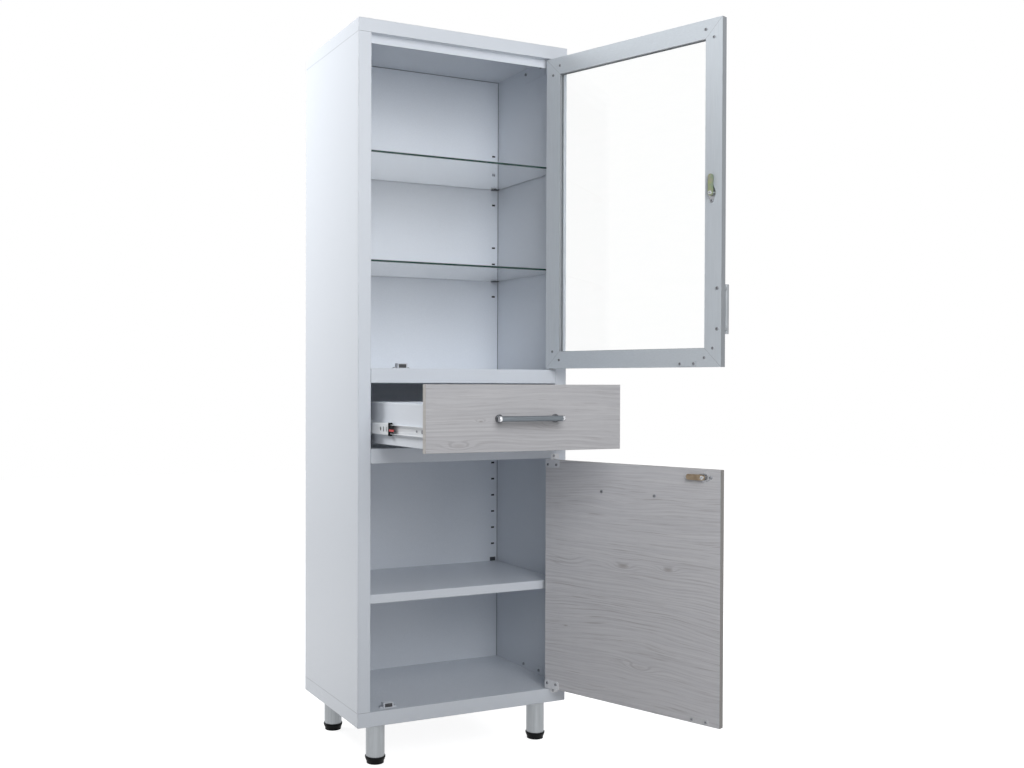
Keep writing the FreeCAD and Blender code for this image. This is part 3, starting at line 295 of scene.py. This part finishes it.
def float_glass(name, edges):
    """Clear glass with faint wiping marks, and green ground edges where edges is set."""
    graph = Graph(name)
    smear = graph.noise(graph.stretch((3.0, 3.0, 9.0)), 6.0, 5.0)
    face = graph.blend(graph.spread(smear, 0.0, 1.0), rgb(0.985, 0.993, 0.99), rgb(0.995, 0.998, 0.997))
    rough = graph.spread(smear, 0.0, 0.01, 0.5, 0.8)
    inputs = {"Base Color": face, "Roughness": rough, "Transmission Weight": 1.0, "IOR": 1.3}
    if edges:
        upright = graph.math("ABSOLUTE", graph.parts(graph.normal)["Z"])
        edge = graph.math("LESS_THAN", upright, 0.5)
        band = graph.spread(graph.noise(graph.place, 45.0, 3.0), 0.0, 1.0)
        green = graph.blend(band, rgb(0.006, 0.034, 0.028), rgb(0.016, 0.06, 0.05))
        inputs["Base Color"] = graph.blend(edge, face, green)
        inputs["Roughness"] = graph.spread(edge, 0.01, 0.22, 0.0, 1.0)
        inputs["Transmission Weight"] = graph.spread(edge, 1.0, 0.05, 0.0, 1.0)
        inputs["IOR"] = 1.45
    return graph.shade(inputs)


def knot_marks(graph, x, z, knots):
    """Shift of the lines round the knots, how near a knot is, and the dark cores."""
    shift = 0.0
    nearness = 0.0
    cores = 0.0
    for knot_x, knot_z, size, dark in knots:
        side = graph.math("DIVIDE", graph.math("SUBTRACT", x, knot_x), knot_length * size)
        rise = graph.math("DIVIDE", graph.math("SUBTRACT", z, knot_z), size)
        square = graph.math("MULTIPLY_ADD", side, side, graph.math("MULTIPLY", rise, rise))
        swell = graph.math("POWER", math.e, graph.math("MULTIPLY", square, -knot_fade))
        shift = graph.math("MULTIPLY_ADD", swell, knot_push, shift)
        nearness = graph.math("MAXIMUM", nearness, swell)
        cores = graph.math("MAXIMUM", cores, graph.spread(square, dark, 0.0, 0.0, core_reach))
    return shift, nearness, cores


def woodgrain(name, turned, knots, lift, edge_shade_lift):
    """Pale pine laminate: flowing lines along the width, bent round the knots, and a plain edge band. Painted
    light and shade: the two lift factors scale the face's colours and the edge band's.
    """
    graph = Graph(name)
    place = graph.turn_back(graph.place, pivot) if turned else graph.place
    normal = graph.turn_back(graph.normal, Vector()) if turned else graph.normal
    x, y, z = graph.parts(place)
    flow = graph.streaks((1.5, 1.5, 4.0), place, 1.0, 2.0)
    level = graph.math("MULTIPLY_ADD", flow, grain_flow, z)
    grain = graph.add("CombineXYZ", {"X": x, "Y": y, "Z": level}).outputs[0]
    jitter = graph.streaks((1.2, 1.2, 34.0), grain, 1.5, 2.0)
    shift, nearness, cores = knot_marks(graph, x, z, knots)
    drift = graph.math("MULTIPLY_ADD", jitter, grain_jitter, shift)
    phase = graph.math("MULTIPLY_ADD", level, grain_lines, drift)
    wave = graph.math("SINE", graph.math("MULTIPLY", phase, 2 * math.pi))
    zone = graph.spread(graph.streaks((2.0, 2.0, 9.0), grain, 1.3, 2.0), 0.05, 1.0, 0.4, 0.62)
    strength = graph.math("MULTIPLY_ADD", nearness, 1.3, zone)
    lines = graph.math("MULTIPLY", graph.spread(wave, 0.0, 1.0, 0.0, 1.0), strength)
    streak = graph.spread(graph.streaks((1.5, 1.5, 60.0), grain, 3.0, 6.0, 0.65), 0.0, 1.0)
    dashes = graph.spread(graph.streaks((5.0, 5.0, 230.0), grain, 1.6, 3.0), 0.0, 1.0, 0.58, 0.74)
    pores = graph.spread(graph.streaks((14.0, 14.0, 700.0), grain, 1.5, 3.0), 0.0, 1.0, 0.58, 0.72)
    colour = graph.blend(streak, rgb(0.51, 0.505, 0.525, lift), rgb(0.61, 0.605, 0.62, lift))
    for marks, amount, tone in (
        (lines, 0.34, rgb(0.38, 0.37, 0.385, lift)),
        (dashes, 0.72, rgb(0.33, 0.31, 0.315, lift)),
        (pores, 0.4, rgb(0.36, 0.34, 0.35, lift)),
        (cores, 0.6, rgb(0.27, 0.24, 0.235, lift)),
    ):
        colour = graph.blend(graph.math("MULTIPLY", marks, amount), colour, tone)
    banded = graph.math("LESS_THAN", graph.math("ABSOLUTE", graph.parts(normal)["Y"]), 0.5)
    band = graph.blend(streak, rgb(0.50, 0.48, 0.46, edge_shade_lift), rgb(0.58, 0.56, 0.54, edge_shade_lift))
    relief = graph.math("SUBTRACT", streak, graph.math("ADD", lines, pores))
    return graph.shade({
        "Base Color": graph.blend(banded, colour, band),
        "Roughness": graph.spread(streak, 0.42, 0.56, 0.0, 1.0),
        "Specular IOR Level": 0.4,
        "Normal": graph.bump(relief, 0.00005),
    })


def frame_profile(name, stretch):
    """Brushed aluminium, with painted shade that makes the narrow faces of the profile darker."""
    graph = Graph(name)
    drawn = graph.stretch(stretch)
    tone = graph.spread(graph.noise(drawn, 420.0, 4.0), 0.0, 1.0)
    colour = graph.blend(tone, rgb(0.62, 0.665, 0.71), rgb(0.665, 0.71, 0.755))
    # Painted shade: the narrow faces take a darker copy of the aluminium
    shaded_edge_colour = graph.blend(tone, rgb(0.275, 0.295, 0.32), rgb(0.32, 0.34, 0.365))
    facing = graph.math("ABSOLUTE", graph.parts(graph.turn_back(graph.normal, Vector()))["Y"])
    return graph.shade({
        "Base Color": graph.blend(graph.math("LESS_THAN", facing, 0.5), colour, shaded_edge_colour),
        "Roughness": graph.spread(graph.noise(graph.place, gloss_wear, 5.0), 0.44, 0.52),
        "Metallic": 0.1,
        "Normal": graph.bump(graph.noise(drawn, fine_grain, 2.0), 0.00001),
    })


def channel_paint_and_shade():
    """Painted outside, with near-black painted shade inside."""
    graph = Graph("channel_paint_and_shade")
    x, y, _ = graph.parts(graph.place)
    aside = graph.math("ABSOLUTE", graph.math("SUBTRACT", graph.math("ABSOLUTE", x), slot_place))
    within = graph.math("LESS_THAN", aside, channel_half - sheet / 2)
    ahead = graph.math("LESS_THAN", y, back_face + channel_depth + sheet / 2)
    cloud = graph.spread(graph.noise(graph.place, 40.0, 2.0), 0.0, 1.0)
    outside = graph.blend(cloud, rgb(0.72, 0.76, 0.82), rgb(0.76, 0.80, 0.86))
    # Painted shade: near black inside the channel
    painted_shade_inside = graph.blend(cloud, rgb(0.012, 0.012, 0.014), rgb(0.03, 0.03, 0.035))
    return graph.shade({
        "Base Color": graph.blend(graph.math("MULTIPLY", within, ahead), outside, painted_shade_inside),
        "Roughness": graph.spread(cloud, 0.4, 0.55, 0.0, 1.0),
        "Normal": graph.bump(graph.noise(graph.place, orange_peel, 2.0), peel_height),
    })


def passivated_zinc():
    """Yellow passivated plate with its drifting green and pink."""
    graph = Graph("yellow_zinc")
    drift = graph.noise(graph.place, 75.0, 3.0)
    pink = graph.spread(graph.noise(graph.place, 120.0, 3.0), 0.0, 0.7, 0.45, 0.7)
    colour = graph.blend(graph.spread(drift, 0.0, 1.0), rgb(0.22, 0.30, 0.21), rgb(0.36, 0.37, 0.21))
    return graph.shade({
        "Base Color": graph.blend(pink, colour, rgb(0.33, 0.29, 0.29)),
        "Roughness": graph.spread(drift, 0.28, 0.42),
        "Metallic": 0.85,
        "Normal": graph.bump(graph.noise(graph.place, 1500.0, 2.0), 0.00002),
    })


# Stretches that draw a grain out along one axis
along_x = (0.04, 1, 1)
along_y = (1, 0.04, 1)
along_z = (1, 1, 0.04)

# Finish of each material slot
finishes = {
    "white_paint": painted_steel("white_paint", 1.0),
    "zinc_steel": finish(
        "zinc_steel", (0.80, 0.82, 0.84), (0.70, 0.72, 0.75), 0.5, 0.3, 300.0, along_y, 0.00002
    ),
    "hinge_steel": finish(
        "hinge_steel", (0.80, 0.81, 0.84), (0.72, 0.73, 0.76), 0.5, 0.25, 90.0, depth=0.00002
    ),
    "leg_metal": finish(
        "leg_metal", (0.40, 0.42, 0.44), (0.325, 0.345, 0.36), 0.34, 0.7, 260.0, along_z, 0.00001
    ),
    "black_plastic": finish(
        "black_plastic", (0.012, 0.013, 0.014), (0.007, 0.0075, 0.008), 0.5, depth=0.00006, gloss=0.08
    ),
    "red_plastic": finish("red_plastic", (0.62, 0.035, 0.035), (0.5, 0.02, 0.025), 0.35, depth=0.00003),
    "catch_plastic": finish("catch_plastic", (0.68, 0.71, 0.76), (0.61, 0.64, 0.69), 0.5, depth=0.00004),
    "magnet": finish("magnet", (0.075, 0.075, 0.08), (0.04, 0.04, 0.045), 0.6, 0.3, 200.0, depth=0.00005),
    "aluminium": frame_profile("aluminium", along_z),
    "clear_glass": float_glass("clear_glass", False),
    "seal_rubber": finish("seal_rubber", (0.30, 0.32, 0.34), (0.23, 0.25, 0.27), 0.6, depth=0.00005),
    "bush_nylon": finish("bush_nylon", (0.05, 0.052, 0.055), (0.035, 0.036, 0.04), 0.5, depth=0.00003),
    # Drawer front: the laminate darkened a little (0.96) as painted shade
    "board": woodgrain("board", False, drawer_knots, 0.96, 1.0),
    "handle_metal": finish(
        "handle_metal", (0.20, 0.225, 0.25), (0.155, 0.175, 0.195), 0.36, 0.7, 500.0, along_x, 0.00001
    ),
    "lock_chrome": finish(
        "lock_chrome", (0.40, 0.41, 0.43), (0.31, 0.32, 0.34), 0.28, 0.9, 80.0, depth=0.00001
    ),
    "yellow_zinc": passivated_zinc(),
}

# Finishes of single nodes and of the added pieces
rail_finish = frame_profile("aluminium_rail", along_y)
# Painted light: the back panel gets the same paint as the cabinet, lifted 1.13 times
painted_light_back_paint = painted_steel("painted_light_back_paint", 1.13)
shelf_glass = float_glass("shelf_glass", True)
# Lower door: the same laminate with painted light on its face (1.25) and painted shade on its edge band (0.55)
door_board_lit_and_shaded = woodgrain("door_board_lit_and_shaded", True, door_knots, 1.25, 0.55)
cap_finish = finish("cap_chrome", (0.72, 0.73, 0.75), (0.62, 0.63, 0.65), 0.2, 0.95, 80.0, depth=0.00001)
rosette_finish = finish(
    "rosette_metal", (0.13, 0.135, 0.145), (0.085, 0.09, 0.1), 0.32, 0.8, 150.0, depth=0.00001
)
screw_finish = finish("screw_steel", (0.34, 0.35, 0.375), (0.25, 0.26, 0.28), 0.4, 0.6, 200.0, depth=0.00002)
# Painted shade: near black, standing for the hollow of the cross recesses
recess_shade_finish = finish(
    "screw_recess_shade", (0.03, 0.03, 0.035), (0.015, 0.015, 0.018), 0.6, 0.5, 300.0, depth=0.00002
)
clip_finish = finish("clip_steel", (0.085, 0.09, 0.1), (0.05, 0.054, 0.06), 0.45, 0.4, 120.0, depth=0.00003)
cage_finish = finish("ball_cage", (0.06, 0.062, 0.066), (0.035, 0.036, 0.04), 0.5, 0.2, 150.0, depth=0.00003)
bronze_finish = finish("bronze_cam", (0.33, 0.26, 0.18), (0.22, 0.16, 0.105), 0.36, 0.6, 90.0, depth=0.00002)
# Painted shade for the strips in the inner corners
corner_shade_finish = finish("corner_shade_strip", (0.20, 0.215, 0.24), (0.14, 0.15, 0.17), 0.6, depth=0.00003)
mitre_finish = finish("mitre_line", (0.46, 0.49, 0.52), (0.39, 0.42, 0.45), 0.6, 0.1, 300.0, depth=0.00002)
strike_finish = finish(
    "strike_plate", (0.66, 0.66, 0.675), (0.59, 0.59, 0.605), 0.6, 0.1, 200.0, depth=0.00002
)
grip_finish = finish("upper_grip", (0.40, 0.42, 0.44), (0.33, 0.35, 0.37), 0.45, 0.2, 260.0, along_z, 0.00001)
seam_finish = finish("panel_seam", (0.30, 0.32, 0.35), (0.22, 0.24, 0.27), 0.6, 0.2, 300.0, depth=0.00002)

# Nodes whose finish differs from their slot's
special = {
    "upper_door_top_rail": rail_finish,
    "upper_door_bottom_rail": rail_finish,
    "lower_glass_shelf": shelf_glass,
    "upper_glass_shelf": shelf_glass,
    "lower_door_panel": door_board_lit_and_shaded,
    "cabinet_fasteners": screw_finish,
    "upper_door_screws": screw_finish,
    "lower_door_screws": screw_finish,
    "lower_door_handle_posts": rosette_finish,
    "drawer_handle_posts": rosette_finish,
    "glass_shelf_clips": clip_finish,
    "steel_shelf_clips": clip_finish,
    "slide_outer_cages": cage_finish,
    "slide_inner_cages": cage_finish,
    "lower_lock_cam": bronze_finish,
    "back_panel": painted_light_back_paint,
    "upper_door_strike": rail_finish,
    "lower_door_strike": strike_finish,
    "upper_door_handle_bar": grip_finish,
    "upper_door_handle_posts": grip_finish,
}
for name, node in nodes.items():
    for place in node.material_slots:
        place.material = special.get(name, finishes[slots[name]])


def piece(name, mesh, body, material):
    """New piece of the cabinet that moves with a body."""
    made = bpy.data.meshes.new(name)
    mesh.to_mesh(made)
    mesh.free()
    made.materials.append(material)
    item = bpy.data.objects.new(name, made)
    bpy.context.collection.objects.link(item)
    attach(item, body)


def islands(node):
    """Points of each separate solid in a node."""
    mesh = nodes[node].data
    keys = [tuple(round(value, weld_decimals) for value in vertex.co) for vertex in mesh.vertices]
    leader = {key: key for key in keys}

    def root(key):
        while leader[key] != key:
            leader[key] = leader[leader[key]]
            key = leader[key]
        return key

    for edge in mesh.edges:
        first, second = (root(keys[index]) for index in edge.vertices)
        leader[first] = second
    groups = {}
    for key in leader:
        groups.setdefault(root(key), []).append(Vector(key))
    return list(groups.values())


def extrude_outline(mesh, outline, lift):
    """Closed flat solid over an outline."""
    low = [mesh.verts.new(point) for point in outline]
    high = [mesh.verts.new(point + lift) for point in outline]
    mesh.faces.new(list(reversed(low)))
    mesh.faces.new(high)
    for index, corner in enumerate(low):
        after = (index + 1) % len(low)
        mesh.faces.new((corner, low[after], high[after], high[index]))


def screw_recesses(node, facing, body):
    """Cross recess on the top of each screw head, as a flat near-black cross of painted shade."""
    mesh = bmesh.new()
    side = facing.orthogonal().normalized()
    rise = facing.cross(side)
    for points in islands(node):
        height = max(point.dot(facing) for point in points)
        top = [point for point in points if point.dot(facing) > height - head_flat]
        centre = sum(top, Vector()) / len(top)
        reach = recess_reach * max((point - centre).length for point in top)
        arm = recess_arm * reach
        outline = []
        for quarter in range(4):
            turn = Matrix.Rotation(quarter * math.pi / 2, 3, facing)
            for along, aside in ((arm, -arm), (reach, -arm), (reach, arm)):
                outline.append(centre + turn @ (side * along + rise * aside))
        extrude_outline(mesh, outline, facing * recess_proud)
    piece(node + "_recesses", mesh, body, recess_shade_finish)


def spun(mesh, centre, axis, profile, sides):
    """Closed solid turned about an axis, from a profile of radius and height over the centre."""
    side = axis.orthogonal().normalized()
    rise = axis.cross(side)
    rings = []
    for radius, height in profile:
        ring = []
        for step in range(sides):
            angle = 2 * math.pi * step / sides
            spoke = side * math.cos(angle) + rise * math.sin(angle)
            ring.append(mesh.verts.new(centre + axis * height + spoke * radius))
        rings.append(ring)
    for lower, upper in zip(rings, rings[1:]):
        for step in range(sides):
            after = (step + 1) % sides
            face = mesh.faces.new((lower[step], lower[after], upper[after], upper[step]))
            face.smooth = True
    mesh.faces.new(list(reversed(rings[0])))
    mesh.faces.new(rings[-1])


def bar_caps(node, axis, body):
    """Polished cap with a shoulder ring on both ends of a handle bar."""
    mesh = bmesh.new()
    low, high = span(node, axis)
    centre = sum(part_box(node), Vector()) / 2
    centre += axis * ((low + high) / 2 - centre.dot(axis))
    profile = [(bar_radius + over, height) for over, height in cap_profile]
    for sign in (-1, 1):
        spun(mesh, centre + axis * (sign * (high - low) / 2), axis * sign, profile, cap_sides)
    piece(node + "_caps", mesh, body, cap_finish)


def mitre_seams():
    """Fine dark line where the frame's members meet at each corner."""
    mesh = bmesh.new()
    corners = (
        (mitre_start, -mitre_half),
        (mitre_start, mitre_half),
        (mitre_end, mitre_half),
        (mitre_end, -mitre_half),
    )
    for side in (-1, 1):
        for z, way in ((door_bottom, 1), (door_top, -1)):
            for y, lift in ((door_inside, inward), (door_outside, -inward)):
                outline = []
                for depth, shift in corners:
                    outline.append(opened(side * (door_half - depth - shift), y, z + way * (depth - shift)))
                extrude_outline(mesh, outline, lift * mitre_proud)
    bmesh.ops.recalc_face_normals(mesh, faces=mesh.faces)
    piece("upper_door_mitre_seams", mesh, "upper_door", mitre_finish)


def strip(mesh, low, high):
    """Upright-sided bar between two corners."""
    corners = [(low[0], low[1]), (high[0], low[1]), (high[0], high[1]), (low[0], high[1])]
    extrude_outline(mesh, [Vector((x, y, low[2])) for x, y in corners], upward * (high[2] - low[2]))


def panel_seams():
    """Fine lines where the side panels meet the top and bottom panels."""
    mesh = bmesh.new()
    end = half_depth - seam_margin
    for level in (cap_level, floor_level):
        low = level - seam_half
        high = level + seam_half
        for side in (-1, 1):
            near, far = sorted((side * half_width, side * (half_width + seam_proud)))
            strip(mesh, (near, -end, low), (far, end, high))
            near, far = sorted((side * opening, side * (half_width - seam_margin)))
            strip(mesh, (near, -half_depth - seam_proud, low), (far, -half_depth, high))
    piece("panel_seams", mesh, "cabinet", seam_finish)


def corner_shade_lines():
    """Dark strip in the corners between the back panel and the sides, and along the ceiling: painted shade where
    the panels meet.
    """
    mesh = bmesh.new()
    front = back_face - corner_shade_width
    reach = side_face - corner_shade_width
    for low, high in ((floor_level, lower_ceiling), (upper_floor, ceiling)):
        for side in (-1, 1):
            near, far = sorted((side * reach, side * side_face))
            strip(mesh, (near, front, low), (far, back_face, high))
    strip(mesh, (-reach, front, ceiling - corner_shade_width), (reach, back_face, ceiling))
    piece("corner_shade_lines", mesh, "cabinet", corner_shade_finish)


def slot_channels():
    """Channel behind each column of clip slots, closed against the back panel, with painted shade inside so that
    the slots look dark.
    """
    mesh = bmesh.new()
    near = back_face + sheet
    web = back_face + channel_depth
    inner = channel_half - sheet
    profile = (
        (-channel_half, near),
        (-channel_half, web + sheet),
        (channel_half, web + sheet),
        (channel_half, near),
        (inner, near),
        (inner, web),
        (-inner, web),
        (-inner, near),
    )
    for side in (-1, 1):
        outline = [Vector((side * slot_place + shift, y, channel_bottom)) for shift, y in profile]
        extrude_outline(mesh, outline, upward * (channel_top - channel_bottom))
    bmesh.ops.recalc_face_normals(mesh, faces=mesh.faces)
    piece("slot_channels", mesh, "cabinet", channel_paint_and_shade())


def slide_screws():
    """Screw and rivet that hold the inner slide members to the drawer."""
    mesh = bmesh.new()
    for side in (-1, 1):
        for behind, radius in slide_fixings:
            place = Vector((side * slide_web, slide_front + behind, slide_level))
            profile = [(share * radius, height) for share, height in fixing_profile]
            spun(mesh, place, Vector((side, 0, 0)), profile, fixing_sides)
    piece("slide_screws", mesh, "drawer", screw_finish)


slide_screws()
panel_seams()
corner_shade_lines()
slot_channels()
screw_recesses("upper_door_screws", inward, "upper_door")
screw_recesses("lower_door_screws", inward, "lower_door")
screw_recesses("drawer_screws", backward, "drawer")
bar_caps("drawer_handle_bar", Vector((1, 0, 0)), "drawer")
bar_caps("lower_door_handle_bar", across, "lower_door")
mitre_seams()


def seen_directly(tree):
    """Amount that is one for the camera and for what glass and metal show."""
    path = tree.nodes.new("ShaderNodeLightPath")
    total = path.outputs["Is Camera Ray"]
    for name in ("Is Glossy Ray", "Is Transmission Ray"):
        join = tree.nodes.new("ShaderNodeMath")
        join.operation = "MAXIMUM"
        tree.links.new(total, join.inputs[0])
        tree.links.new(path.outputs[name], join.inputs[1])
        total = join.outputs[0]
    return total


def studio_floor():
    """Pale floor that keeps the shadow near the feet and runs out to white."""
    mesh = bmesh.new()
    bmesh.ops.create_grid(mesh, x_segments=floor_cells, y_segments=floor_cells, size=floor_half)
    made = bpy.data.meshes.new("floor")
    mesh.to_mesh(made)
    mesh.free()
    floor = bpy.data.objects.new("floor", made)
    bpy.context.collection.objects.link(floor)
    graph = Graph("studio_floor")
    tint = graph.spread(graph.noise(graph.place, 1.5, 3.0), 0.0, 1.0)
    away = graph.add("VectorMath", {0: graph.place}, operation="LENGTH").outputs["Value"]
    glow = graph.spread(away, low=0.89, high=1.0, start=0.45, end=1.0)
    graph.shade({
        "Base Color": graph.blend(tint, rgb(0.31, 0.31, 0.315), rgb(0.33, 0.33, 0.335)),
        "Roughness": 0.9,
        "Specular IOR Level": 0.1,
        "Emission Color": rgb(1.0, 1.0, 1.0),
        "Emission Strength": graph.math("MULTIPLY", seen_directly(graph.tree), glow),
    })
    made.materials.append(graph.material)


def studio_world():
    """White backdrop that gives the object only a little light."""
    world = bpy.data.worlds.new("studio")
    bpy.context.scene.world = world
    world.use_nodes = True
    tree = world.node_tree
    backdrop = tree.nodes["Background"]
    backdrop.inputs["Color"].default_value = rgb(1.0, 1.0, 1.0)
    strength = tree.nodes.new("ShaderNodeMapRange")
    strength.inputs["To Min"].default_value = world_light
    strength.inputs["To Max"].default_value = 1.0
    tree.links.new(seen_directly(tree), strength.inputs["Value"])
    tree.links.new(strength.outputs[0], backdrop.inputs["Strength"])


def lamp(name, place, target, colour, size, power, shows):
    """Round soft lamp, which glass and metal mirror only where shows is set."""
    data = bpy.data.lights.new(name, "AREA")
    data.shape = "DISK"
    data.size = size
    data.energy = power
    data.color = colour
    item = bpy.data.objects.new(name, data)
    item.location = place
    item.rotation_euler = (Vector(target) - Vector(place)).to_track_quat("-Z", "Y").to_euler()
    item.visible_glossy = shows
    item.visible_transmission = shows
    bpy.context.collection.objects.link(item)


def photo_camera():
    """Camera at the photograph's place, with its focal length and picture centre."""
    yaw, pitch, roll = (math.radians(angle) for angle in camera_turn)
    level = Vector((-math.sin(yaw), math.cos(yaw), 0))
    right = Vector((math.cos(yaw), math.sin(yaw), 0))
    ahead = level * math.cos(pitch) + upward * math.sin(pitch)
    over = upward * math.cos(pitch) - level * math.sin(pitch)
    side = right * math.cos(roll) + over * math.sin(roll)
    crown = over * math.cos(roll) - right * math.sin(roll)
    data = bpy.data.cameras.new("camera")
    data.sensor_width = sensor_width
    data.lens = focal_length / image_width * sensor_width
    data.shift_x = (image_width / 2 - centre_across) / image_width
    data.shift_y = (centre_down - image_height / 2) / image_width
    item = bpy.data.objects.new("camera", data)
    turned = Matrix((side, crown, -ahead)).transposed().to_4x4()
    item.matrix_world = Matrix.Translation(camera_place) @ turned
    bpy.context.collection.objects.link(item)
    bpy.context.scene.camera = item


studio_floor()
studio_world()
lamp("left", (-1.7, 1.5, 2.6), (-0.3, 0, 1.2), cool_white, size=1.2, power=77.0, shows=False)
lamp("right", (2.7, 0.5, 2.2), (0.3, 0, 1.0), cool_white, size=1.6, power=60.0, shows=False)
lamp("front", (-0.35, -2.6, 2.2), (0, 0, 1.3), cool_white, size=2.0, power=40.0, shows=True)
lamp("fill", (-0.3, -3.5, 0.9), (0, -0.2, 0.6), sky_white, size=1.6, power=9.0, shows=True)
photo_camera()
bpy.context.scene.view_settings.view_transform = "Standard"
